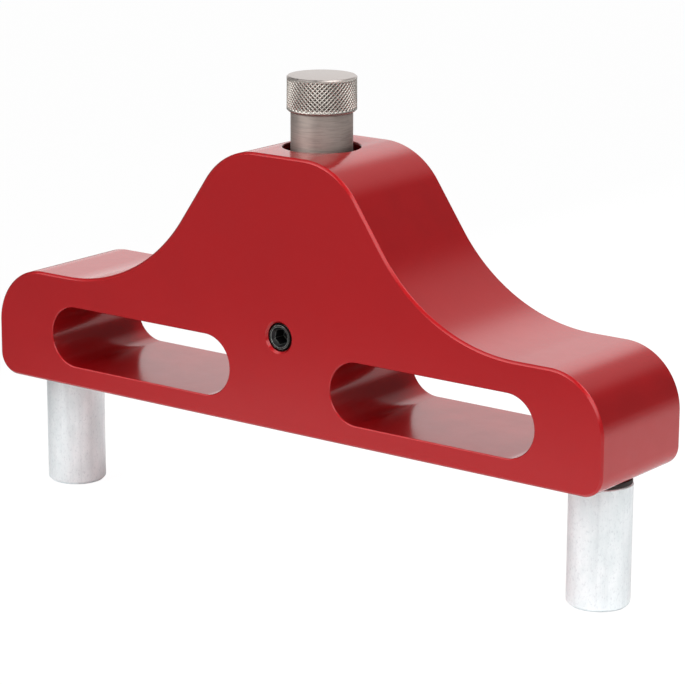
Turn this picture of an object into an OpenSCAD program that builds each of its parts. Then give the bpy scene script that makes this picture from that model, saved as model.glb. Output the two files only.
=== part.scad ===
// Self-centring marking jig: a slotted plate that sits on the edge of a board between two
// guide rollers, with a sliding marker insert on its centre line.
// X runs along the plate, Y through its thickness, Z up. The origin is on the ground plane,
// midway between the rollers.

/* [Plate] */
// Overall length of the plate
body_length = 155; // [150:1:170]
// Thickness of the plate
body_thickness = 28.5; // [28:0.5:34]
// Height of the flat end shoulders above the underside
shoulder_height = 24; // [22:0.5:28]
// Height of the crest above the underside
crest_height = 57; // [55:0.5:60]
// Radius of the upper corner at each end
end_radius = 12.5; // [6:0.5:16]
// Radius of the lower corner at each end
foot_radius = 4.5; // [1.5:0.5:6]
// Radius where the crest turns down into the flank
crest_radius = 16; // [12:0.5:17]
// Half the width of the level part of the crest
crest_half_width = 6; // [4:0.5:7]
// Radius of the hollow between the flank and the end shoulder
flank_radius = 38.5; // [34:0.5:40]
// Distance from the centre to where the hollow meets the end shoulder
flank_foot = 57.4; // [56.6:0.2:60]
// Chamfer along the edges of both faces
edge_chamfer = 0.6; // [0.2:0.1:1]

/* [Slots] */
// Height of each slot
slot_height = 13; // [8:0.5:14]
// Distance from the centre to the near end of each slot
slot_inner = 13; // [12:0.5:18]
// Distance from the centre to the far end of each slot
slot_outer = 62; // [50:0.5:63]
// Height of the slot's middle above the underside
slot_centre = 11; // [9:0.5:12]
// Chamfer around the slot's rims
slot_chamfer = 0.5; // [0.2:0.1:0.8]

/* [Marker insert] */
// Diameter of the insert's shank
shank_diameter = 12.7; // [12:0.1:13.2]
// Length of the shank below the head
shank_length = 50.5; // [50:0.1:50.8]
// Diameter over the knurled head
head_diameter = 14.3; // [14.2:0.1:15]
// Height of the knurled head
head_height = 7.2; // [5:0.1:10]
// Chamfer on the head's rims
head_chamfer = 0.8; // [0.3:0.1:1]
// How far the underside of the head stands above the crest
head_lift = 7.3; // [6:0.1:7.5]
// Diameter of the recess that takes the head
recess_diameter = 15.9; // [15.5:0.1:18]
// Depth of the recess
recess_depth = 5; // [3:0.1:7]
// How far the scriber point stands out of the shank
point_reach = 3.5; // [2.5:0.1:5]

/* [Clamp screw] */
// Thread diameter of the clamp screw
clamp_diameter = 6; // [5:1:6]
// Length of the clamp screw
clamp_length = 8; // [8:0.1:8.2]
// Height of the clamp screw above the underside
clamp_height = 19.7; // [18:0.1:21]
// Depth of the flat on the shank that the clamp screw bears on
flat_depth = 0.4; // [0.3:0.1:0.5]

/* [Rollers] */
// Distance from the centre to each roller's axis
roller_offset = 68.5; // [68:0.1:69.5]
// Diameter of the rollers
roller_diameter = 12.7; // [12.4:0.1:14]
// Height of the underside above the ground plane
ground_clearance = 26; // [26:0.1:28]
// Chamfer on the rollers' rims
roller_chamfer = 0.6; // [0.2:0.1:0.8]
// Diameter of the shoulder that a roller turns on
shoulder_diameter = 6; // [5:1:6]
// Length of that shoulder
shoulder_length = 20; // [18:1:20]
// Diameter of the shoulder screw's head
screw_head_diameter = 10; // [9:0.5:10]
// Height of the shoulder screw's head
screw_head_height = 4.5; // [3:0.5:4.5]
// Diameter of the shoulder screw's thread
stud_diameter = 5; // [4:1:5]
// Length of the shoulder screw's thread
stud_length = 9.5; // [8:0.5:12]
// Diameter of the thrust washers
washer_diameter = 12.4; // [11:0.1:12.4]
// Thickness of the thrust washers
washer_thickness = 1; // [0.8:0.1:1.2]

/* [Hidden] */
$fn = 96;
// How far a chamfer's cutter and a plain cut run past the face they start from
eps = 0.02;
past = 1;

// Fits, as gaps on the radius
running_gap = 0.03;
thread_gap = 0.02;
washer_gap = 0.1;
// Gap at each end of a roller, and under the clamp screw
end_gap = 0.05;
tip_gap = 0.03;

// Points on each arc of the outline
foot_steps = 8;
end_steps = 18;
flank_steps = 24;
crest_steps = 20;

half_length = body_length / 2;
half_thickness = body_thickness / 2;
crest_level = ground_clearance + crest_height;
head_level = crest_level + head_lift;
recess_level = crest_level - recess_depth;
shank_end = head_level - shank_length;
clamp_level = ground_clearance + clamp_height;

bore_radius = shank_diameter / 2 + running_gap;
bore_chamfer = 0.4;
shank_chamfer = 0.5;
undercut_depth = 0.1;
undercut_height = 0.2;

clamp_tip = -(shank_diameter / 2 - flat_depth + tip_gap);
clamp_socket = 3;
clamp_socket_depth = 3.5;
clamp_chamfer = 0.5;
clamp_hole_chamfer = 0.25;

// Travel of the insert, down to the recess floor and up to the end of its flat
travel_down = head_level - recess_level;
travel_up = 1;
flat_margin = 0.1;
flat_low = clamp_level - clamp_diameter / 2 - travel_up - flat_margin;
flat_high = clamp_level + clamp_diameter / 2 + travel_down + flat_margin;

point_stem_radius = 2;
point_stem_length = 8;
point_collar_radius = 3;
point_collar_height = 1;
point_ledge = 0.5;
point_hole_depth = point_stem_length + 1;

roller_top = ground_clearance - washer_thickness - end_gap;
screw_head_top = ground_clearance - shoulder_length;
roller_seat = screw_head_top + end_gap;
screw_head_bottom = screw_head_top - screw_head_height;
screw_head_gap = 0.2;
head_pocket_radius = screw_head_diameter / 2 + screw_head_gap;
roller_top_chamfer = roller_chamfer / 3;
screw_socket = 3;
screw_socket_depth = 2.4;
screw_chamfer = 0.4;
stud_hole_depth = stud_length + 1.5;

// Points along an arc, from one angle to another
function arc(centre, radius, from, to, steps) =
    [for (i = [0:steps]) centre + radius * [cos(from + (to - from) * i / steps),
        sin(from + (to - from) * i / steps)]];

// Angle of the straight flank's normal, where it touches both the crest and hollow arcs
function flank_angle(crest_centre, hollow_centre) =
    let (span = hollow_centre - crest_centre)
    atan2(span[1], span[0]) + acos((crest_radius + flank_radius) / norm(span));

// Right half of the outline, drawn in by the given inset, from the underside up to the crest
function half_outline(inset) =
    let (foot = [half_length - foot_radius, foot_radius])
    let (end = [half_length - end_radius, shoulder_height - end_radius])
    let (hollow = [flank_foot, shoulder_height + flank_radius])
    let (crest = [crest_half_width, crest_height - crest_radius])
    let (lean = flank_angle(crest, hollow))
    concat(
        arc(foot, foot_radius - inset, -90, 0, foot_steps),
        arc(end, end_radius - inset, 0, 90, end_steps),
        arc(hollow, flank_radius + inset, 270, 180 + lean, flank_steps),
        arc(crest, crest_radius - inset, lean, 90, crest_steps)
    );

// The whole outline: the right half, then its mirror image in reverse order
function outline(inset) =
    let (right = half_outline(inset))
    let (count = len(right))
    concat(right, [for (i = [count - 1:-1:0]) [-right[i][0], right[i][1]]]);

// One ring of the plate's skin at a given depth
function ring(inset, depth) =
    [for (p = outline(inset)) [p[0], depth, p[1] + ground_clearance]];

// Level strips that cover one face of the plate, each between two heights of the outline.
// The two heights at the level shoulder are the same, so one strip takes both.
function face_strips(count, shoulder) =
    concat(
        [for (i = [0:count / 2 - 2]) if (i < shoulder - 1 || i > shoulder)
            [i, i + 1, count - 2 - i, count - 1 - i]],
        [[shoulder - 1, shoulder, shoulder + 1, count - 2 - shoulder, count - 1 - shoulder,
            count - shoulder]]
    );

// A face's corners in the opposite order, which turns it over
function turned(face) = [for (i = [len(face) - 1:-1:0]) face[i]];

// Plate with the outline's edges chamfered on both faces
module plate() {
    count = len(outline(0));
    shoulder = foot_steps + end_steps + 1;
    rings = 4;
    strips = face_strips(count, shoulder);
    last = (rings - 1) * count;
    polyhedron(
        points = concat(
            ring(edge_chamfer, -half_thickness),
            ring(0, -half_thickness + edge_chamfer),
            ring(0, half_thickness - edge_chamfer),
            ring(edge_chamfer, half_thickness)
        ),
        faces = concat(
            [for (strip = strips) turned(strip)],
            [for (r = [0:rings - 2], i = [0:count - 1])
                [r * count + i, r * count + (i + 1) % count,
                    (r + 1) * count + (i + 1) % count, (r + 1) * count + i]],
            [for (strip = strips) [for (i = strip) i + last]]
        )
    );
}

// Stadium shape of a slot, between the centres of its two round ends
module slot_shape() {
    radius = slot_height / 2;
    near = slot_inner + radius;
    far = slot_outer - radius;
    translate([near, 0]) circle(r = radius);
    translate([far, 0]) circle(r = radius);
    translate([near, -radius]) square([far - near, slot_height]);
}

// Flared mouth of a slot, deepest at the face, made of two cones and a wedge
module slot_mouth() {
    radius = slot_height / 2;
    near = slot_inner + radius;
    far = slot_outer - radius;
    flare = slot_chamfer + eps;
    for (x = [near, far])
        translate([x, 0, -slot_chamfer])
            cylinder(r1 = radius, r2 = radius + flare, h = flare);
    translate([near, 0, -slot_chamfer])
        rotate([90, 0, 90])
            linear_extrude(far - near)
                polygon([[-radius, 0], [radius, 0], [radius + flare, flare],
                    [-radius - flare, flare]]);
}

// One slot through the plate, with both its mouths
module slot_cut() {
    translate([0, 0, ground_clearance + slot_centre]) {
        rotate([90, 0, 0])
            linear_extrude(body_thickness + 2 * past, center = true)
                slot_shape();
        translate([0, -half_thickness, 0]) rotate([90, 0, 0]) slot_mouth();
        translate([0, half_thickness, 0]) rotate([-90, 0, 0]) slot_mouth();
    }
}

// Blind tapped hole in the underside for a shoulder screw
module stud_hole() {
    translate([0, 0, ground_clearance - eps])
        cylinder(d = stud_diameter + 2 * thread_gap, h = stud_hole_depth + eps);
}

// Centre bore, with the recess for the head and a chamfer at each mouth
module insert_bore() {
    translate([0, 0, ground_clearance - past])
        cylinder(r = bore_radius, h = crest_height + 2 * past);
    translate([0, 0, recess_level])
        cylinder(d = recess_diameter, h = recess_depth + past);
    translate([0, 0, ground_clearance - eps])
        cylinder(r1 = bore_radius + bore_chamfer + eps, r2 = bore_radius, h = bore_chamfer + eps);
    translate([0, 0, crest_level - bore_chamfer])
        cylinder(r1 = recess_diameter / 2, r2 = recess_diameter / 2 + bore_chamfer + eps,
            h = bore_chamfer + eps);
}

// Tapped cross hole for the clamp screw, from the front face into the bore
module clamp_hole() {
    hole_radius = clamp_diameter / 2 + thread_gap;
    flare = clamp_hole_chamfer + eps;
    translate([0, 0, clamp_level])
        rotate([90, 0, 0]) {
            cylinder(r = hole_radius, h = half_thickness + past);
            translate([0, 0, half_thickness - clamp_hole_chamfer])
                cylinder(r1 = hole_radius, r2 = hole_radius + flare, h = flare);
        }
}

module jig_body() {
    color("#a82a2c")
        difference() {
            plate();
            slot_cut();
            mirror([1, 0, 0]) slot_cut();
            translate([roller_offset, 0, 0]) stud_hole();
            translate([-roller_offset, 0, 0]) stud_hole();
            insert_bore();
            clamp_hole();
        }
}

// Plunger turned from one bar: knurled head, undercut, shank with a flat, tapped lower end
module marker_insert() {
    shank_radius = shank_diameter / 2;
    undercut_radius = shank_radius - undercut_depth;
    head_radius = head_diameter / 2;
    top = head_level + head_height;
    color("#9c948c")
        difference() {
            rotate_extrude()
                polygon([
                    [0, shank_end],
                    [shank_radius - shank_chamfer, shank_end],
                    [shank_radius, shank_end + shank_chamfer],
                    [shank_radius, head_level - undercut_height],
                    [undercut_radius, head_level - undercut_height],
                    [undercut_radius, head_level],
                    [head_radius - head_chamfer, head_level],
                    [head_radius, head_level + head_chamfer],
                    [head_radius, top - head_chamfer],
                    [head_radius - head_chamfer, top],
                    [0, top]
                ]);
            translate([-shank_diameter, -shank_diameter, flat_low])
                cube([2 * shank_diameter, shank_diameter / 2 + flat_depth, flat_high - flat_low]);
            translate([0, 0, shank_end - past])
                cylinder(r = point_stem_radius + thread_gap, h = point_hole_depth + past);
        }
}

// Hardened point: threaded stem, collar and cone
module scriber_point() {
    cone_top = shank_end - point_collar_height;
    cone_tip = shank_end - point_reach;
    cone_radius = point_collar_radius - point_ledge;
    color("#4c4c50")
        rotate_extrude()
            polygon([
                [0, cone_tip],
                [cone_radius, cone_top],
                [point_collar_radius, cone_top],
                [point_collar_radius, shank_end],
                [point_stem_radius, shank_end],
                [point_stem_radius, shank_end + point_stem_length],
                [0, shank_end + point_stem_length]
            ]);
}

// Set screw, drawn upright with its socket at the top
module clamp_screw() {
    radius = clamp_diameter / 2;
    color("#26262a")
        translate([0, clamp_tip, clamp_level])
            rotate([90, 0, 0])
                difference() {
                    rotate_extrude()
                        polygon([
                            [0, 0],
                            [radius - 2 * clamp_chamfer, 0],
                            [radius, 2 * clamp_chamfer],
                            [radius, clamp_length - clamp_chamfer],
                            [radius - clamp_chamfer, clamp_length],
                            [0, clamp_length]
                        ]);
                    translate([0, 0, clamp_length - clamp_socket_depth])
                        cylinder(d = clamp_socket / cos(30), h = clamp_socket_depth + past,
                            $fn = 6);
                }
}

// Guide roller: a plain sleeve with a pocket in its lower end for the screw head
module roller() {
    radius = roller_diameter / 2;
    hole = shoulder_diameter / 2 + running_gap;
    color("#d4d8da")
        rotate_extrude()
            polygon([
                [head_pocket_radius, 0],
                [radius - roller_chamfer, 0],
                [radius, roller_chamfer],
                [radius, roller_top - roller_top_chamfer],
                [radius - roller_top_chamfer, roller_top],
                [hole, roller_top],
                [hole, roller_seat],
                [head_pocket_radius, roller_seat]
            ]);
}

// Thin thrust washer between the underside and a roller
module thrust_washer() {
    color("#4a4140")
        translate([0, 0, ground_clearance - washer_thickness])
            difference() {
                cylinder(d = washer_diameter, h = washer_thickness);
                translate([0, 0, -past])
                    cylinder(d = shoulder_diameter + 2 * washer_gap,
                        h = washer_thickness + 2 * past);
            }
}

// Shoulder screw: head at the bottom, ground shoulder, thread at the top
module shoulder_screw() {
    head = screw_head_diameter / 2;
    shoulder = shoulder_diameter / 2;
    stud = stud_diameter / 2;
    stud_top = ground_clearance + stud_length;
    color("#303034")
        difference() {
            rotate_extrude()
                polygon([
                    [0, screw_head_bottom],
                    [head - screw_chamfer, screw_head_bottom],
                    [head, screw_head_bottom + screw_chamfer],
                    [head, screw_head_top],
                    [shoulder, screw_head_top],
                    [shoulder, ground_clearance],
                    [stud, ground_clearance],
                    [stud, stud_top - screw_chamfer],
                    [stud - screw_chamfer, stud_top],
                    [0, stud_top]
                ]);
            translate([0, 0, screw_head_bottom - past])
                cylinder(d = screw_socket / cos(30), h = screw_socket_depth + past, $fn = 6);
        }
}

module on_left() {
    translate([-roller_offset, 0, 0]) children();
}

module on_right() {
    translate([roller_offset, 0, 0]) children();
}

module left_roller() {
    on_left() roller();
}

module right_roller() {
    on_right() roller();
}

module left_thrust_washer() {
    on_left() thrust_washer();
}

module right_thrust_washer() {
    on_right() thrust_washer();
}

module left_shoulder_screw() {
    on_left() shoulder_screw();
}

module right_shoulder_screw() {
    on_right() shoulder_screw();
}

jig_body();
marker_insert();
scriber_point();
clamp_screw();
left_roller();
right_roller();
left_thrust_washer();
right_thrust_washer();
left_shoulder_screw();
right_shoulder_screw();
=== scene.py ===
"""Looks of the self-centring marking jig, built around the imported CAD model. Units are metres."""

import math

import bmesh
import bpy
from mathutils import Matrix, Vector
from mathutils.geometry import tessellate_polygon


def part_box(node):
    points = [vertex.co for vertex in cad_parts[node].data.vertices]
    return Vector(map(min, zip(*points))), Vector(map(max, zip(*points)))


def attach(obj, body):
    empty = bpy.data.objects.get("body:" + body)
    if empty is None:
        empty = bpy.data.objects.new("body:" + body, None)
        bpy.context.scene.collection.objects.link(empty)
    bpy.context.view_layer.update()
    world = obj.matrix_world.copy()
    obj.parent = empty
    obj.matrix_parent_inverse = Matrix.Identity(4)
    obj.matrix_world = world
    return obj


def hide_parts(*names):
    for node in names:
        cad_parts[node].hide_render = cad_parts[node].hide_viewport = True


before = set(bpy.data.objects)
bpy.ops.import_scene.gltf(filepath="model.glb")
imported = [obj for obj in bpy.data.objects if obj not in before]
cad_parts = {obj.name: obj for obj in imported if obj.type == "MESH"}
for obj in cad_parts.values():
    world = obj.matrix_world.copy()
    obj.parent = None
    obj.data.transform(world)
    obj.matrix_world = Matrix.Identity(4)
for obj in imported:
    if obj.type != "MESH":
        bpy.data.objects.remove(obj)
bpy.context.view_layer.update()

MM = 0.001
TAU = 2 * math.pi
# Lays an upright piece down with its top towards the front
LAY_FORWARD = Matrix.Rotation(math.pi / 2, 4, "X")

# --------------------------------------------------------------------------------------------
# Places from the CAD boxes
# --------------------------------------------------------------------------------------------
plate_low, plate_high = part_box("jig_body")
insert_low, insert_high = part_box("marker_insert")
point_low, point_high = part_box("scriber_point")
clamp_low, clamp_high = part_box("clamp_screw")
roller_low, roller_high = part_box("right_roller")
washer_low, washer_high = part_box("right_thrust_washer")
screw_low, screw_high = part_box("right_shoulder_screw")

half_length = plate_high.x
half_thickness = plate_high.y
underside = plate_low.z
crest = plate_high.z
roller_offset = (roller_low.x + roller_high.x) / 2
clamp_level = (clamp_low.z + clamp_high.z) / 2

# Plate
shoulder = underside + 24 * MM
END_RADIUS = 12.5 * MM
FOOT_RADIUS = 4.5 * MM
CREST_RADIUS = 16 * MM
CREST_HALF_WIDTH = 6 * MM
HOLLOW_RADIUS = 38.5 * MM
HOLLOW_FOOT = 57.4 * MM
EDGE_BREAK = 0.5 * MM
SLOT_RADIUS = 6.5 * MM
SLOT_NEAR = 19.5 * MM
SLOT_FAR = 55.5 * MM
SLOT_LEVEL = underside + 11 * MM
SLOT_BREAK = 0.2 * MM
BORE_RADIUS = 6.38 * MM
RECESS_RADIUS = 7.95 * MM
# A hair deeper than the head's travel, so that the head doesn't share the recess floor's plane
RECESS_DEPTH = 5.02 * MM
CLAMP_HOLE_RADIUS = 3.02 * MM
STUD_HOLE_RADIUS = 2.52 * MM
STUD_HOLE_DEPTH = 11 * MM

# Marker insert
SHANK_RADIUS = 6.35 * MM
HEAD_RADIUS = insert_high.x
HEAD_HEIGHT = 7.2 * MM
HEAD_BREAK_LOW = 0.35 * MM
HEAD_BREAK_TOP = 0.28 * MM
FLAT_DEPTH = 0.4 * MM
KNURL_COUNT = 48
KNURL_PITCH = 0.92 * MM
KNURL_DEPTH = 0.24 * MM

# Screws and rollers
HEX_FLATS = 3 * MM
SHOULDER_RADIUS = 3 * MM
POCKET_RADIUS = 5.2 * MM

head_low = insert_high.z - HEAD_HEIGHT
knurl_low = head_low + HEAD_BREAK_LOW
knurl_high = insert_high.z - HEAD_BREAK_TOP


# --------------------------------------------------------------------------------------------
# Mesh building
# --------------------------------------------------------------------------------------------
def arc(centre, radius, start, end, step=2.5):
    """Points along an arc in a plane, from one angle to another in degrees."""
    count = max(2, math.ceil(abs(end - start) / step))
    angles = [math.radians(start + (end - start) * i / count) for i in range(count + 1)]
    return [(centre[0] + radius * math.cos(a), centre[1] + radius * math.sin(a)) for a in angles]


def rounded(corners, steps=4):
    """A profile of (radius, height) points from corners whose third value is the radius of their arc."""
    points = []
    for i, (r, z, radius) in enumerate(corners):
        here = Vector((r, z))
        if radius == 0 or i in (0, len(corners) - 1):
            points.append((r, z))
            continue
        before = Vector(corners[i - 1][:2]) - here
        after = Vector(corners[i + 1][:2]) - here
        half = before.angle(after) / 2
        reach = min(radius / math.tan(half), before.length * 0.49, after.length * 0.49)
        radius = reach * math.tan(half)
        bisector = (before.normalized() + after.normalized()).normalized()
        middle = here + bisector * (radius / math.sin(half))
        start = here + before.normalized() * reach - middle
        end = here + after.normalized() * reach - middle
        turn = start.angle_signed(end)
        for k in range(steps + 1):
            a = -turn * k / steps
            r = middle.x + start.x * math.cos(a) - start.y * math.sin(a)
            z = middle.y + start.x * math.sin(a) + start.y * math.cos(a)
            points.append((r, z))
    return points


def turned(name, profile, columns=96, shape=None, closed=False):
    """A mesh turned about Z from (radius, height) rows; shape(row, angle, radius) changes a radius."""
    mesh = bmesh.new()
    rings = []
    for i, (radius, height) in enumerate(profile):
        ring = []
        for k in range(columns):
            angle = TAU * k / columns
            reach = radius
            if shape:
                reach = shape(i, angle, radius)
            ring.append(mesh.verts.new((reach * math.cos(angle), reach * math.sin(angle), height)))
        rings.append(ring)
    pairs = list(zip(rings, rings[1:])) + ([(rings[-1], rings[0])] if closed else [])
    for lower, upper in pairs:
        for k in range(columns):
            n = (k + 1) % columns
            mesh.faces.new((lower[k], lower[n], upper[n], upper[k]))
    bmesh.ops.remove_doubles(mesh, verts=mesh.verts, dist=1e-7)
    bmesh.ops.recalc_face_normals(mesh, faces=mesh.faces)
    return finished(name, mesh)


def finished(name, mesh, sharp=28):
    """A Blender object from a bmesh, smooth except where its faces meet at a sharp angle."""
    limit = math.radians(sharp)
    for face in mesh.faces:
        face.smooth = True
    for edge in mesh.edges:
        edge.smooth = len(edge.link_faces) == 2 and edge.calc_face_angle(0) < limit
    data = bpy.data.meshes.new(name)
    mesh.to_mesh(data)
    mesh.free()
    piece = bpy.data.objects.new(name, data)
    bpy.context.scene.collection.objects.link(piece)
    return piece


def place(piece, matrix):
    """Bakes a transform into the piece's mesh."""
    piece.data.transform(matrix)
    return piece


def cut(piece, cutters):
    """Cuts each cutter out of the piece and removes the cutters."""
    for cutter in cutters:
        modifier = piece.modifiers.new("cut", "BOOLEAN")
        modifier.operation = "DIFFERENCE"
        modifier.solver = "EXACT"
        modifier.object = cutter
    graph = bpy.context.evaluated_depsgraph_get()
    result = bpy.data.meshes.new_from_object(piece.evaluated_get(graph))
    piece.modifiers.clear()
    piece.data = result
    for cutter in cutters:
        bpy.data.objects.remove(cutter)


def hexagon(angle, flats):
    """Distance from a hexagon's centre to its side at an angle."""
    return flats / 2 / math.cos((angle % (TAU / 6)) - TAU / 12)


# --------------------------------------------------------------------------------------------
# Plate
# --------------------------------------------------------------------------------------------
def half_outline(inset):
    """Right half of the outline as (x, z), drawn in by the inset, from the underside to the crest."""
    foot = (half_length - FOOT_RADIUS, underside + FOOT_RADIUS)
    end = (half_length - END_RADIUS, shoulder - END_RADIUS)
    hollow = (HOLLOW_FOOT, shoulder + HOLLOW_RADIUS)
    top = (CREST_HALF_WIDTH, crest - CREST_RADIUS)
    across, up = hollow[0] - top[0], hollow[1] - top[1]
    span = math.hypot(across, up)
    lean = math.degrees(math.atan2(up, across) + math.acos((CREST_RADIUS + HOLLOW_RADIUS) / span))
    return (
        arc(foot, FOOT_RADIUS - inset, -90, 0, 6)
        + arc(end, END_RADIUS - inset, 0, 90)
        + arc(hollow, HOLLOW_RADIUS + inset, 270, 180 + lean, 1.5)
        + arc(top, CREST_RADIUS - inset, lean, 90, 2)
    )


def outline(inset):
    """The whole outline: the right half, then its mirror image in reverse order."""
    right = half_outline(inset)
    return right + [(-x, z) for x, z in reversed(right)]


def slot_outline(side, grow):
    """A slot's stadium as (x, z), on the side given by the sign."""
    near, far = (side * SLOT_NEAR, SLOT_LEVEL), (side * SLOT_FAR, SLOT_LEVEL)
    left, right = (near, far) if side > 0 else (far, near)
    radius = SLOT_RADIUS + grow
    return arc(right, radius, -90, 90, 3) + arc(left, radius, 90, 270, 3)


def broken_edge(size, steps=8):
    """(inset, depth) pairs across a broken edge: a chamfer that rounds into both faces."""
    blend = 1.8
    pairs = []
    for k in range(steps + 1):
        t = k / steps * math.pi / 2
        inset = size * (1 - math.sin(t) ** blend)
        depth = size * (1 - math.cos(t) ** blend)
        pairs.append((inset, depth))
    return pairs


def wall(mesh, loops):
    """Quads between loops of (x, z) points, each at its own y."""
    rings = [[mesh.verts.new((x, y, z)) for x, z in points] for points, y in loops]
    for lower, upper in zip(rings, rings[1:]):
        for k in range(len(lower)):
            n = (k + 1) % len(lower)
            mesh.faces.new((lower[k], lower[n], upper[n], upper[k]))
    return rings[0], rings[-1]


def rim_loops(shape, size):
    """Loops from the front face to the back one, with the edges broken on both."""
    pairs = broken_edge(size)
    front = [(shape(inset), -half_thickness + depth) for inset, depth in pairs]
    back = [(shape(inset), half_thickness - depth) for inset, depth in reversed(pairs)]
    return front + back


def build_plate():
    """The plate's skin around its slots, then the holes cut into it."""
    mesh = bmesh.new()
    ends = [wall(mesh, rim_loops(outline, EDGE_BREAK))]
    for side in (-1, 1):
        ends.append(wall(mesh, rim_loops(lambda grow, s=side: slot_outline(s, grow), SLOT_BREAK)))
    for face in (0, 1):
        loops = [pair[face] for pair in ends]
        corners = [vert for loop in loops for vert in loop]
        for triangle in tessellate_polygon([[vert.co for vert in loop] for loop in loops]):
            mesh.faces.new([corners[i] for i in triangle])
    bmesh.ops.recalc_face_normals(mesh, faces=mesh.faces)
    plate = finished("plate_body", mesh)
    cut(plate, [bore_cutter(), clamp_cutter(), stud_cutter("left", -1), stud_cutter("right", 1)])
    mesh = bmesh.new()
    mesh.from_mesh(plate.data)
    bmesh.ops.remove_doubles(mesh, verts=mesh.verts, dist=1e-7)
    bpy.data.objects.remove(plate)
    plate = finished("jig_plate", mesh)
    keep_faces_flat(plate)
    return plate


def keep_faces_flat(plate):
    """Marks the borders of the two big faces and the underside sharp, so their shading stays flat."""
    level = 0.99999
    faces = plate.data.polygons
    flat = [abs(face.normal.y) > level or face.normal.z < -level for face in faces]
    sides = {}
    for face in faces:
        for key in face.edge_keys:
            sides.setdefault(key, set()).add(flat[face.index])
    for edge in plate.data.edges:
        if len(sides[edge.key]) == 2:
            edge.use_edge_sharp = True


def bore_cutter():
    """Centre bore with its recess, and a broken edge at each mouth."""
    past = 1 * MM
    mouth = 0.45 * MM
    low = 0.4 * MM
    floor = crest - RECESS_DEPTH
    profile = [(0, underside - past), (BORE_RADIUS + low + past, underside - past)]
    profile += [(BORE_RADIUS + low, underside), (BORE_RADIUS, underside + low)]
    profile += [(BORE_RADIUS, floor - low / 2), (BORE_RADIUS + low / 2, floor)]
    profile += [(RECESS_RADIUS, floor)]
    profile += arc((RECESS_RADIUS + mouth, crest - mouth), mouth, 180, 90, 18)
    profile += [(RECESS_RADIUS + mouth, crest + past), (0, crest + past)]
    return turned("bore_cutter", profile, 128)


def clamp_cutter():
    """Cross hole for the set screw, from the front face into the bore."""
    radius = CLAMP_HOLE_RADIUS
    flare = 0.45 * MM
    past = 1 * MM
    profile = [(0, -past), (radius, -past), (radius, half_thickness - flare)]
    profile += [(radius + flare, half_thickness), (radius + flare + past, half_thickness + past)]
    profile += [(0, half_thickness + past)]
    cutter = turned("clamp_cutter", profile, 72)
    return place(cutter, Matrix.Translation((0, 0, clamp_level)) @ LAY_FORWARD)


def stud_cutter(name, side):
    """Blind hole in the underside for a shoulder screw's thread, with the drill's cone at its end."""
    past = 1 * MM
    cone = STUD_HOLE_RADIUS * 0.5
    profile = [(0, -past), (STUD_HOLE_RADIUS, -past), (STUD_HOLE_RADIUS, STUD_HOLE_DEPTH)]
    profile += [(0, STUD_HOLE_DEPTH + cone)]
    cutter = turned(name + "_stud_cutter", profile, 48)
    return place(cutter, Matrix.Translation((side * roller_offset, 0, underside)))


# --------------------------------------------------------------------------------------------
# Marker insert and its point
# --------------------------------------------------------------------------------------------
def knurl(angle, height):
    """Depth of the diamond knurl below its crests, from 0 to 1: two crossed families of ridges."""
    steepness = 1.6
    around = KNURL_COUNT * angle / TAU
    along = height / KNURL_PITCH
    ridges = [abs(((around + sign * along) % 1) - 0.5) * 2 for sign in (1, -1)]
    groove = 1 - max(ridges)
    return min(1, groove * steepness)


def build_insert():
    """The plunger: tapped lower end, shank with a flat for the set screw, neck and knurled head."""
    low, top = insert_low.z, insert_high.z
    hole = 2.02 * MM
    hole_top = low + 9 * MM
    flat_low = clamp_level - 4.1 * MM
    flat_high = clamp_level + 15.4 * MM
    end_break = 0.5 * MM
    neck = SHANK_RADIUS - 0.1 * MM
    lower = rounded([
        (0, hole_top + hole * 0.5, 0), (hole, hole_top, 0), (hole, low, 0.1 * MM),
        (SHANK_RADIUS - end_break, low, 0.08 * MM),
        (SHANK_RADIUS, low + end_break, 0.1 * MM), (SHANK_RADIUS, flat_low, 0)])
    upper = rounded([
        (SHANK_RADIUS, flat_high, 0), (SHANK_RADIUS, head_low - 0.25 * MM, 0.05 * MM),
        (neck, head_low - 0.2 * MM, 0), (neck, head_low, 0),
        (HEAD_RADIUS - HEAD_BREAK_LOW, head_low, 0.1 * MM), (HEAD_RADIUS, knurl_low, 0)])
    rows = 72
    row_height = (knurl_high - knurl_low) / rows
    knurled = [(HEAD_RADIUS, knurl_low + row_height * k) for k in range(1, rows)]
    cap = rounded([
        (HEAD_RADIUS, knurl_high, 0), (HEAD_RADIUS - HEAD_BREAK_TOP, top, 0.15 * MM),
        (0, top, 0)])
    flat = [(SHANK_RADIUS, flat_low), (SHANK_RADIUS, flat_high)]
    profile = lower + flat + upper + knurled + cap
    flat_rows = range(len(lower), len(lower) + len(flat))
    first = len(lower) + len(flat) + len(upper)
    fade = 7

    def shape(i, angle, radius):
        if i in flat_rows:
            facing = -math.sin(angle)
            reach = (SHANK_RADIUS - FLAT_DEPTH) / facing if facing > 0 else radius
            return min(radius, reach)
        if first <= i < first + len(knurled):
            row = i - first + 1
            ends = min(1, row / fade, (rows - row) / fade)
            height = profile[i][1] - knurl_low
            return radius - KNURL_DEPTH * ends * knurl(angle, height)
        return radius

    return turned("marker_plunger", profile, KNURL_COUNT * 10, shape)


def build_point():
    """The hardened point: cone, collar and stem."""
    low, high = point_low.z, point_high.z
    collar_top = high - 8 * MM
    collar_low = collar_top - 1 * MM
    collar = 3 * MM
    cone = 2.5 * MM
    stem = 2 * MM
    stem_break = 0.3 * MM
    profile = rounded([
        (0, low, 0), (0.06 * MM, low + 0.02 * MM, 0), (cone, collar_low, 0.06 * MM),
        (collar, collar_low, 0.12 * MM), (collar, collar_top, 0.1 * MM), (stem, collar_top, 0),
        (stem, high - stem_break, 0), (stem - stem_break, high, 0), (0, high, 0)])
    return turned("scriber_tip", profile, 72)


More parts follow.
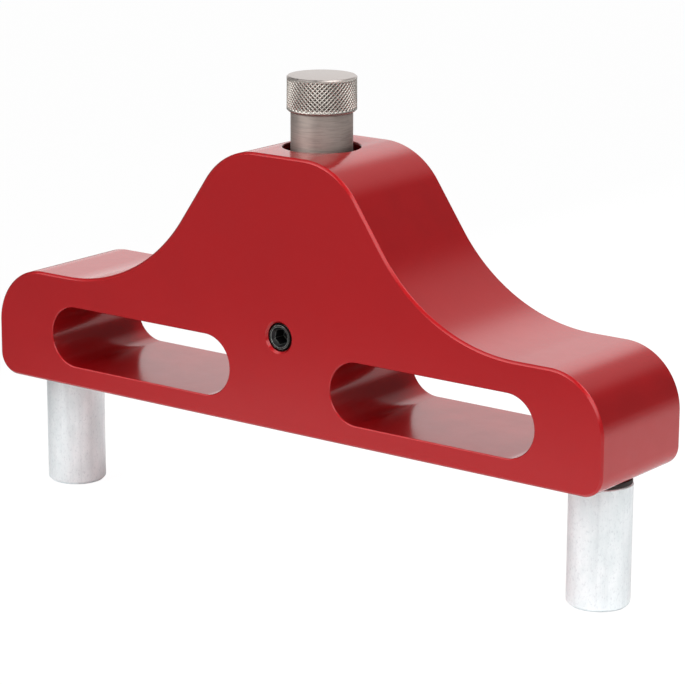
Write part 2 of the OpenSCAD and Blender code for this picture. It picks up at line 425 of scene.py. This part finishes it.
# --------------------------------------------------------------------------------------------
# Screws, rollers and washers
# --------------------------------------------------------------------------------------------
def thread_depth(angle, height, pitch):
    """Depth of a vee thread below its crest, as a share of its pitch."""
    phase = (height / pitch - angle / TAU) % 1
    return 0.55 * min(abs(phase - 0.5) * 2 + 0.08, 1)


def socket(top, depth, rim):
    """Rows of a hex socket from its floor's middle up to its broken rim, as (kind, size, height)."""
    corner = HEX_FLATS / math.sqrt(3)
    cone = 0.12 * HEX_FLATS
    flare = 0.6 * rim
    steps = 3
    rows = [("round", 0, top - depth - cone), ("hex", HEX_FLATS, top - depth)]
    rows += [("hex", HEX_FLATS, top - rim)]
    for k in range(1, steps + 1):
        share = k / steps
        rows.append((share, corner + flare, top - rim * (1 - share)))
    return rows


def row_radius(kind, angle, size):
    """A row's radius at an angle. A number is how far the row is from hexagonal to round."""
    if kind == "hex":
        return hexagon(angle, size)
    if kind == "round":
        return size
    return hexagon(angle, HEX_FLATS) * (1 - kind) + size * kind


def build_clamp_screw():
    """Set screw drawn upright, its socket at the top, then laid along -Y."""
    length = clamp_high.y - clamp_low.y
    radius = (clamp_high.x - clamp_low.x) / 2
    pitch = 1 * MM
    end_break = 0.5 * MM
    run_out = 0.3 * MM
    threaded = length - 3 * end_break
    rows_per_turn = 12
    rows = int(threaded / pitch * rows_per_turn)
    start = 2 * end_break
    outer = [("round", 0, 0), ("round", radius - 2 * end_break, 0)]
    outer += [("thread", radius, start + threaded * k / rows) for k in range(rows + 1)]
    outer += [("round", radius - end_break * 0.95, length - 0.04 * MM)]
    outer += [("round", radius - end_break * 1.1, length)]
    kinds = outer + list(reversed(socket(length, 3.5 * MM, 0.7 * MM)))
    profile = [(size, height) for _, size, height in kinds]

    def shape(i, angle, size):
        kind, _, height = kinds[i]
        if kind == "thread":
            lead_in = (height - start) / pitch + 0.35
            lead_out = (length - end_break - height) / pitch * 2 + 0.5
            taper = min(1, lead_in, lead_out)
            groove = thread_depth(angle, height, pitch) * pitch * 0.95
            return size - groove * taper - run_out * (1 - taper)
        return row_radius(kind, angle, size)

    screw = turned("set_screw", profile, 96, shape)
    turn = Matrix.Rotation(math.radians(17), 4, "Z")
    return place(screw, Matrix.Translation((0, clamp_high.y, clamp_level)) @ LAY_FORWARD @ turn)


def build_shoulder_screw(name, side):
    """Shoulder screw with its head and socket at the bottom and its thread at the top."""
    low, high = screw_low.z, screw_high.z
    head_radius = (screw_high.x - screw_low.x) / 2
    head_top = low + 4.5 * MM
    head_break = 0.4 * MM
    stud = 2.5 * MM
    relief = stud - 0.25 * MM
    pitch = 0.8 * MM
    start = underside + 0.6 * MM
    threaded = high - 0.4 * MM - start
    rows_per_turn = 10
    rows = int(threaded / pitch * rows_per_turn)
    upright = socket(low, 2.4 * MM, 0.35 * MM)
    inner = [(kind, size, 2 * low - height) for kind, size, height in upright]
    body = rounded([
        (head_radius - head_break, low, 0.1 * MM), (head_radius, low + head_break, 0.1 * MM),
        (head_radius, head_top, 0.08 * MM), (SHOULDER_RADIUS, head_top, 0),
        (SHOULDER_RADIUS, underside, 0), (relief, underside, 0), (relief, start, 0)])
    body = [(head_radius - 0.5 * MM, low)] + body
    kinds = inner + [("round", size, height) for size, height in body]
    kinds += [("thread", stud, start + threaded * k / rows) for k in range(rows + 1)]
    kinds += [("round", stud - 0.45 * MM, high), ("round", 0, high)]
    profile = [(size, height) for _, size, height in kinds]

    def shape(i, angle, size):
        kind, _, height = kinds[i]
        if kind == "thread":
            return size - thread_depth(angle, height, pitch) * pitch * 0.9
        return row_radius(kind, angle, size)

    screw = turned(name, profile, 72, shape)
    return place(screw, Matrix.Translation((side * roller_offset, 0, 0)))


def build_roller(name, side):
    """A plain sleeve with a pocket in its lower end for the shoulder screw's head."""
    low, high = roller_low.z, roller_high.z
    radius = (roller_high.x - roller_low.x) / 2
    seat = low + 6.05 * MM
    hole = SHOULDER_RADIUS + 0.03 * MM
    hole_break = 0.1 * MM
    low_break = 0.6 * MM
    top_break = 0.2 * MM
    profile = rounded([
        (hole, seat, 0), (POCKET_RADIUS, seat, 0.1 * MM), (POCKET_RADIUS, low, 0.08 * MM),
        (radius - low_break, low, 0.15 * MM), (radius, low + low_break, 0.5 * MM),
        (radius, high - top_break, 0.2 * MM), (radius - top_break, high, 0.1 * MM),
        (hole + hole_break, high, 0), (hole, high - hole_break, 0)])
    roller = turned(name, profile, 128, closed=True)
    return place(roller, Matrix.Translation((side * roller_offset, 0, 0)))


def build_washer(name, side):
    """A thin ring on the shoulder screw, its edges slightly rounded."""
    low, high = washer_low.z, washer_high.z
    radius = (washer_high.x - washer_low.x) / 2
    hole = SHOULDER_RADIUS + 0.1 * MM
    edge = 0.12 * MM
    profile = rounded([
        (hole, (low + high) / 2, 0), (hole, low, edge), (radius, low, edge), (radius, high, edge),
        (hole, high, edge), (hole, (low + high) / 2, 0)])
    washer = turned(name, profile[:-1], 96, closed=True)
    return place(washer, Matrix.Translation((side * roller_offset, 0, 0)))


# --------------------------------------------------------------------------------------------
# Materials
# --------------------------------------------------------------------------------------------
class Finish:
    """A node material around one Principled shader."""

    def __init__(self, name, **sockets):
        self.material = bpy.data.materials.new(name)
        self.material.use_nodes = True
        self.tree = self.material.node_tree
        self.shader = self.tree.nodes["Principled BSDF"]
        for socket_name, value in sockets.items():
            self.shader.inputs[socket_name.replace("_", " ")].default_value = value

    def add(self, kind, links=None, values=None, **properties):
        """A node with its properties, its linked inputs and its input values, by input name or index."""
        node = self.tree.nodes.new("ShaderNode" + kind)
        for key, value in properties.items():
            setattr(node, key, value)
        for key, value in (values or {}).items():
            node.inputs[key].default_value = value
        for key, source in (links or {}).items():
            self.tree.links.new(source, node.inputs[key])
        return node

    def coordinates(self, scale=(1, 1, 1)):
        """Object coordinates, scaled, so that a finish stays on its piece as it moves."""
        own = self.add("TexCoord").outputs["Object"]
        return self.add("Mapping", {"Vector": own}, {"Scale": scale}).outputs[0]

    def noise(self, scale, stretch=(1, 1, 1), detail=3, roughness=0.55):
        """Noise from 0 to 1; scale is in features a metre."""
        values = {"Scale": scale, "Detail": detail, "Roughness": roughness}
        return self.add("TexNoise", {"Vector": self.coordinates(stretch)}, values).outputs["Fac"]

    def spread(self, source, low, high, start=0.0, end=1.0):
        """Maps a value from start..end to low..high, and holds it within that range."""
        values = {"From Min": start, "From Max": end, "To Min": low, "To Max": high}
        return self.add("MapRange", {"Value": source}, values).outputs["Result"]

    def feed(self, node, sources):
        """Gives a node's inputs, by index, either a link or a value."""
        for index, source in sources.items():
            if isinstance(source, bpy.types.NodeSocket):
                self.tree.links.new(source, node.inputs[index])
            else:
                node.inputs[index].default_value = source

    def mix(self, factor, first, second):
        """Mixes two colours or linked sockets; a Mix node's colours are its inputs 6 and 7."""
        node = self.add("Mix", data_type="RGBA")
        self.feed(node, {0: factor, 6: first, 7: second})
        return node.outputs[2]

    def maths(self, operation, first, second=0.0):
        """A Math node on two values or linked sockets."""
        node = self.add("Math", operation=operation)
        self.feed(node, {0: first, 1: second})
        return node.outputs[0]

    def length(self, first, second):
        """Length of a vector in a plane."""
        squares = [self.maths("POWER", part, 2.0) for part in (first, second)]
        return self.maths("SQRT", self.maths("ADD", *squares))

    def edges(self, size, start, end):
        """0 on faces to 1 along edges: how far a bevelled normal leans from the true one."""
        bevel = self.add("Bevel", values={"Radius": size}, samples=6)
        true = self.add("NewGeometry").outputs["Normal"]
        dot = self.add("VectorMath", {0: bevel.outputs[0], 1: true}, operation="DOT_PRODUCT")
        return self.spread(dot.outputs["Value"], 1.0, 0.0, start, end)

    def open_sky(self, distance):
        """1 in the open, down to 0 deep in a recess."""
        return self.add("AmbientOcclusion", values={"Distance": distance}, samples=8).outputs["AO"]

    def bump(self, height, distance, under=None):
        """A bumped normal, on top of another bump if one is given."""
        links = {"Height": height}
        if under is not None:
            links["Normal"] = under
        return self.add("Bump", links, {"Distance": distance, "Strength": 1.0}).outputs[0]

    def send(self, socket_name, source):
        """Links a value to one of the shader's inputs."""
        self.tree.links.new(source, self.shader.inputs[socket_name])


def red_anodised():
    """Bead-blasted aluminium under a dyed oxide: a red metal with a satin coat. Its edges are lighter
    and shinier, partly from wear and partly as a painted highlight, and painted shade darkens it deep in
    recesses.
    """
    f = Finish("red_anodised", Metallic=0.8, Specular_Tint=(0.9, 0.05, 0.06, 1), Coat_Weight=1.0,
               Coat_Roughness=0.17, Coat_IOR=1.5)
    cloud = f.noise(45, detail=2)
    grain = f.noise(2600, detail=3, roughness=0.75)
    red = f.mix(cloud, (0.46, 0.006, 0.010, 1), (0.50, 0.007, 0.011, 1))
    red = f.mix(f.spread(grain, 0, 0.10, 0.3, 0.7), red, (0.56, 0.02, 0.025, 1))
    # Painted shade: the red turns to a dark red deep in recesses, such as the bore's recess, by ambient
    # occlusion.
    outside_painted_shade = f.spread(f.open_sky(12 * MM), 0, 1, 0.1, 0.75)
    red = f.mix(outside_painted_shade, (0.12, 0.002, 0.003, 1), red)
    # Lighter red along the edges: partly wear, partly a painted highlight on the chamfers; the edges are
    # also less rough.
    wear_and_highlight = f.edges(0.25 * MM, 0.86, 0.985)
    f.send("Base Color", f.mix(f.maths("MULTIPLY", wear_and_highlight, 0.55), red, (0.90, 0.022, 0.028, 1)))
    satin = f.spread(f.noise(160), 0.54, 0.60, 0.35, 0.65)
    f.send("Roughness", f.maths("SUBTRACT", satin, f.maths("MULTIPLY", wear_and_highlight, 0.27)))
    f.send("Normal", f.bump(grain, 0.016 * MM))
    return f.material


def turned_steel():
    """Bare steel from the lathe: fine rings round the shank."""
    f = Finish("turned_steel", Metallic=1.0)
    rings = f.noise(4200, (0.05, 0.05, 1.0), detail=4, roughness=0.7)
    patch = f.noise(220, (1, 1, 0.5), detail=3)
    tone = f.mix(f.spread(patch, 0, 1, 0.3, 0.7), (0.43, 0.375, 0.34, 1), (0.51, 0.445, 0.405, 1))
    tone = f.mix(f.spread(rings, 0, 0.6, 0.45, 0.7), tone, (0.62, 0.55, 0.50, 1))
    tone = f.mix(f.spread(rings, 0.5, 0, 0.3, 0.5), tone, (0.27, 0.24, 0.215, 1))
    f.send("Base Color", tone)
    f.send("Roughness", f.spread(rings, 0.46, 0.6, 0.3, 0.7))
    f.send("Normal", f.bump(rings, 0.010 * MM))
    return f.material


def knurled_steel():
    """The same steel on the knurl: a painted highlight lightens the crests and painted shade darkens the
    pits, which are also rougher.
    """
    f = Finish("knurled_steel", Metallic=1.0)
    where = f.add("SeparateXYZ", {0: f.coordinates()})
    radius = f.length(where.outputs[0], where.outputs[1])
    pit_shade_crest_highlight = f.spread(radius, 0, 1, HEAD_RADIUS - KNURL_DEPTH, HEAD_RADIUS - 0.02 * MM)
    speck = f.noise(1800, detail=3)
    # Painted shade and painted highlight: the colour runs from nearly black in the pits to light on the
    # crests.
    tone = f.mix(pit_shade_crest_highlight, (0.07, 0.065, 0.058, 1), (0.72, 0.68, 0.62, 1))
    f.send("Base Color", f.mix(f.spread(speck, 0, 0.3, 0.4, 0.7), tone, (0.50, 0.45, 0.42, 1)))
    f.send("Roughness", f.spread(pit_shade_crest_highlight, 0.6, 0.36))
    f.send("Normal", f.bump(speck, 0.01 * MM))
    return f.material


def brushed_steel():
    """The head's top: fine parallel scratches."""
    f = Finish("brushed_steel", Metallic=1.0)
    scratches = f.noise(1500, (1.0, 0.03, 1.0), detail=4, roughness=0.7)
    tone = f.mix(f.spread(scratches, 0, 1, 0.3, 0.7), (0.46, 0.41, 0.385, 1), (0.57, 0.51, 0.48, 1))
    f.send("Base Color", tone)
    f.send("Roughness", f.spread(scratches, 0.28, 0.42, 0.3, 0.7))
    f.send("Normal", f.bump(scratches, 0.003 * MM))
    return f.material


def black_oxide():
    """Blackened steel, grey along its edges: partly wear through the oxide, partly a painted highlight.
    """
    f = Finish("black_oxide", Metallic=0.6, Specular_IOR_Level=0.5)
    speck = f.noise(1400, detail=3)
    # Grey along the edges, on the socket's rims too: partly wear, partly a painted highlight.
    wear_and_highlight = f.edges(0.2 * MM, 0.86, 0.985)
    dark = f.mix(speck, (0.008, 0.008, 0.008, 1), (0.018, 0.018, 0.018, 1))
    f.send("Base Color", f.mix(f.maths("MULTIPLY", wear_and_highlight, 0.9), dark, (0.80, 0.84, 0.78, 1)))
    f.send("Roughness", f.spread(speck, 0.28, 0.44, 0.3, 0.7))
    f.send("Normal", f.bump(speck, 0.006 * MM))
    return f.material


def zinc_plate():
    """Bright zinc on drawn bar: mottled, with faint draw lines along the axis."""
    f = Finish("zinc_plate", Metallic=0.7)
    mottle = f.noise(330, (1, 1, 0.5), detail=5, roughness=0.65)
    lines = f.noise(800, (1, 1, 0.04), detail=4)
    speck = f.noise(2600, (1, 1, 0.6), detail=2)
    tone = f.mix(f.spread(mottle, 0, 1, 0.35, 0.65), (0.83, 0.885, 0.90, 1), (0.93, 0.965, 0.98, 1))
    tone = f.mix(f.spread(lines, 0, 0.45, 0.5, 0.75), tone, (0.72, 0.76, 0.78, 1))
    tone = f.mix(f.spread(speck, 0, 0.5, 0.55, 0.7), tone, (0.66, 0.70, 0.73, 1))
    f.send("Base Color", tone)
    f.send("Roughness", f.spread(mottle, 0.46, 0.34, 0.3, 0.7))
    f.send("Normal", f.bump(speck, 0.008 * MM, f.bump(mottle, 0.03 * MM)))
    return f.material


def tool_steel():
    """Hardened steel, ground to fine rings."""
    f = Finish("tool_steel", Metallic=1.0)
    rings = f.noise(3200, (0.02, 0.02, 1.0), detail=3)
    f.send("Base Color", f.mix(rings, (0.13, 0.13, 0.135, 1), (0.22, 0.215, 0.21, 1)))
    f.send("Roughness", f.spread(rings, 0.18, 0.32, 0.3, 0.7))
    f.send("Normal", f.bump(rings, 0.003 * MM))
    return f.material


def fibre_washer():
    """Dull dark brown fibre."""
    f = Finish("fibre_washer", Specular_IOR_Level=0.35)
    speck = f.noise(900, (1, 1, 3), detail=4)
    f.send("Base Color", f.mix(speck, (0.016, 0.010, 0.009, 1), (0.05, 0.034, 0.031, 1)))
    f.send("Roughness", f.spread(speck, 0.55, 0.8, 0.3, 0.7))
    f.send("Normal", f.bump(speck, 0.03 * MM))
    return f.material


# --------------------------------------------------------------------------------------------
# Stage, lights and camera
# --------------------------------------------------------------------------------------------
def floor_disc():
    """A large flat disc at the ground plane."""
    radius = 3.2
    columns = 96
    mesh = bmesh.new()
    centre = mesh.verts.new((0, 0, 0))
    angles = [TAU * k / columns for k in range(columns)]
    ring = [mesh.verts.new((radius * math.cos(a), radius * math.sin(a), 0)) for a in angles]
    for k in range(columns):
        mesh.faces.new((centre, ring[k], ring[(k + 1) % columns]))
    return finished("floor", mesh)


def paper():
    """Floor that the camera sees as white from above, and through from below.

    In reflections it is pale behind and beside the object, and grey in front of it, to its left
    and far away. It is open under the rollers, so that light reaches their pockets.
    """
    f = Finish("paper", Roughness=0.9, Specular_IOR_Level=0.0)
    where = f.add("SeparateXYZ", {0: f.coordinates()})
    x, y = where.outputs[0], where.outputs[1]
    distance = f.add("VectorMath", {0: f.coordinates()}, operation="LENGTH").outputs["Value"]
    behind = f.spread(y, 0, 1, -0.17, -0.045)
    beside = f.spread(x, 0, 0.8, 0.03, 0.16)
    leftward = f.spread(x, 0.1, 1, -0.15, -0.07)
    near = f.spread(distance, 1.0, 0.12, 0.17, 0.5)
    pale = f.maths("MULTIPLY", f.maths("MAXIMUM", behind, beside), near)
    pale = f.maths("MULTIPLY", pale, leftward)
    f.send("Base Color", f.mix(pale, (0.25, 0.25, 0.25, 1), (0.9, 0.9, 0.9, 1)))

    white = f.add("Emission", values={"Color": (1, 1, 1, 1), "Strength": 1.08})
    seen = f.maths("MULTIPLY", f.add("LightPath").outputs["Is Camera Ray"], 0.88)
    solid = f.add("MixShader", {0: seen, 1: f.shader.outputs[0], 2: white.outputs[0]})

    below = f.add("NewGeometry").outputs["Backfacing"]
    from_axis = f.length(f.maths("SUBTRACT", f.maths("ABSOLUTE", x), roller_offset), y)
    pocket = f.spread(from_axis, 1, 0, POCKET_RADIUS, POCKET_RADIUS + 0.4 * MM)
    clear = f.maths("MAXIMUM", below, pocket)
    glass = f.add("BsdfTransparent").outputs[0]
    pane = f.add("MixShader", {0: clear, 1: solid.outputs[0], 2: glass})
    f.tree.links.new(pane.outputs[0], f.tree.nodes["Material Output"].inputs["Surface"])
    return f.material


def build_floor():
    floor = floor_disc()
    floor.data.materials.append(paper())


def facing(azimuth, elevation):
    """Unit vector towards a direction in degrees: azimuth 0 is at -Y, in front, and 90 is at +X."""
    azimuth, elevation = math.radians(azimuth), math.radians(elevation)
    level = math.cos(elevation)
    return Vector((math.sin(azimuth) * level, -math.cos(azimuth) * level, math.sin(elevation)))


AMBIENT = 0.15
# Soft panels of the light tent: azimuth, elevation, half-angles of the even part and of the whole,
# all in degrees, and radiance
PANELS = {
    "back_left": (217, 14, 22, 34, 0.95),
    "back": (190, 38, 14, 30, 0.4),
    "back_high": (180, 65, 8, 26, 0.4),
    "key": (44, 28, 8, 20, 2.4),
    "front_left": (328, 38, 12, 33, 2.7),
    "front_low": (340, 14, 12, 34, 1.15),
    "right_high": (90, 58, 10, 30, 3.9),
}


def build_world():
    """A light tent: an even glow with soft, brighter panels, which all add up."""
    world = bpy.data.worlds.new("studio")
    world.use_nodes = True
    nodes, link = world.node_tree.nodes, world.node_tree.links.new
    direction = nodes.new("ShaderNodeTexCoord").outputs["Generated"]
    background = nodes["Background"]
    background.inputs["Color"].default_value = (1, 1, 1, 1)
    total = background.inputs["Strength"]
    for azimuth, elevation, even, whole, radiance in PANELS.values():
        dot = nodes.new("ShaderNodeVectorMath")
        dot.operation = "DOT_PRODUCT"
        link(direction, dot.inputs[0])
        dot.inputs[1].default_value = facing(azimuth, elevation)
        ramp = nodes.new("ShaderNodeMapRange")
        ramp.interpolation_type = "SMOOTHSTEP"
        link(dot.outputs["Value"], ramp.inputs["Value"])
        ramp.inputs["From Min"].default_value = math.cos(math.radians(whole))
        ramp.inputs["From Max"].default_value = math.cos(math.radians(even))
        ramp.inputs["To Max"].default_value = radiance
        add = nodes.new("ShaderNodeMath")
        link(ramp.outputs["Result"], add.inputs[0])
        link(add.outputs[0], total)
        total = add.inputs[1]
    total.default_value = AMBIENT
    bpy.context.scene.world = world


CAMERA_AZIMUTH = 37.051
CAMERA_ELEVATION = 14.446
CAMERA_ROLL = 0.235
CAMERA_DISTANCE = 605.36 * MM
CAMERA_TARGET = Vector((5.464 * MM, 0, 42.67 * MM))
CAMERA_LENS = 155.14


def build_camera():
    back = facing(CAMERA_AZIMUTH, CAMERA_ELEVATION)
    right = (-back).cross(Vector((0, 0, 1))).normalized()
    up = right.cross(-back)
    roll = math.radians(CAMERA_ROLL)
    across = right * math.cos(roll) + up * math.sin(roll)
    upward = up * math.cos(roll) - right * math.sin(roll)
    data = bpy.data.cameras.new("camera")
    data.lens = CAMERA_LENS
    data.sensor_width = 36
    data.clip_start = 0.01
    camera = bpy.data.objects.new("camera", data)
    turn = Matrix((across, upward, back)).transposed()
    place_at = Matrix.Translation(CAMERA_TARGET + back * CAMERA_DISTANCE)
    camera.matrix_world = place_at @ turn.to_4x4()
    bpy.context.scene.collection.objects.link(camera)
    bpy.context.scene.camera = camera


# --------------------------------------------------------------------------------------------
# Assembly
# --------------------------------------------------------------------------------------------
def dress(piece, body, node, slot, *materials):
    """Gives a piece its materials and its body, and hides the CAD node that it stands for; the slot is
    not used.
    """
    for material in materials:
        piece.data.materials.append(material)
    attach(piece, body)
    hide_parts(node)


def assign(piece, index, low, high):
    """Gives the faces whose centre is between two heights the material of that index."""
    for face in piece.data.polygons:
        if low < face.center.z <= high:
            face.material_index = index


build_camera()
build_world()
build_floor()

plate = build_plate()
dress(plate, "plate", "jig_body", "red_anodised", red_anodised())

plunger = build_insert()
dress(plunger, "marker", "marker_insert", "marker_steel",
      turned_steel(), knurled_steel(), brushed_steel())
assign(plunger, 1, knurl_low, knurl_high)
assign(plunger, 2, knurl_high, insert_high.z + MM)

dress(build_point(), "marker", "scriber_point", "tool_steel", tool_steel())
oxide = black_oxide()
dress(build_clamp_screw(), "clamp", "clamp_screw", "black_oxide", oxide)
zinc = zinc_plate()
fibre = fibre_washer()
for label, side in (("left", -1), ("right", 1)):
    dress(build_roller(label + "_guide_roller", side), label + "_guide",
          label + "_roller", "roller_zinc", zinc)
    dress(build_washer(label + "_washer", side), "plate",
          label + "_thrust_washer", "washer_grey", fibre)
    dress(build_shoulder_screw(label + "_roller_screw", side), "plate",
          label + "_shoulder_screw", "black_oxide", oxide)

bpy.context.scene.view_settings.view_transform = "Standard"
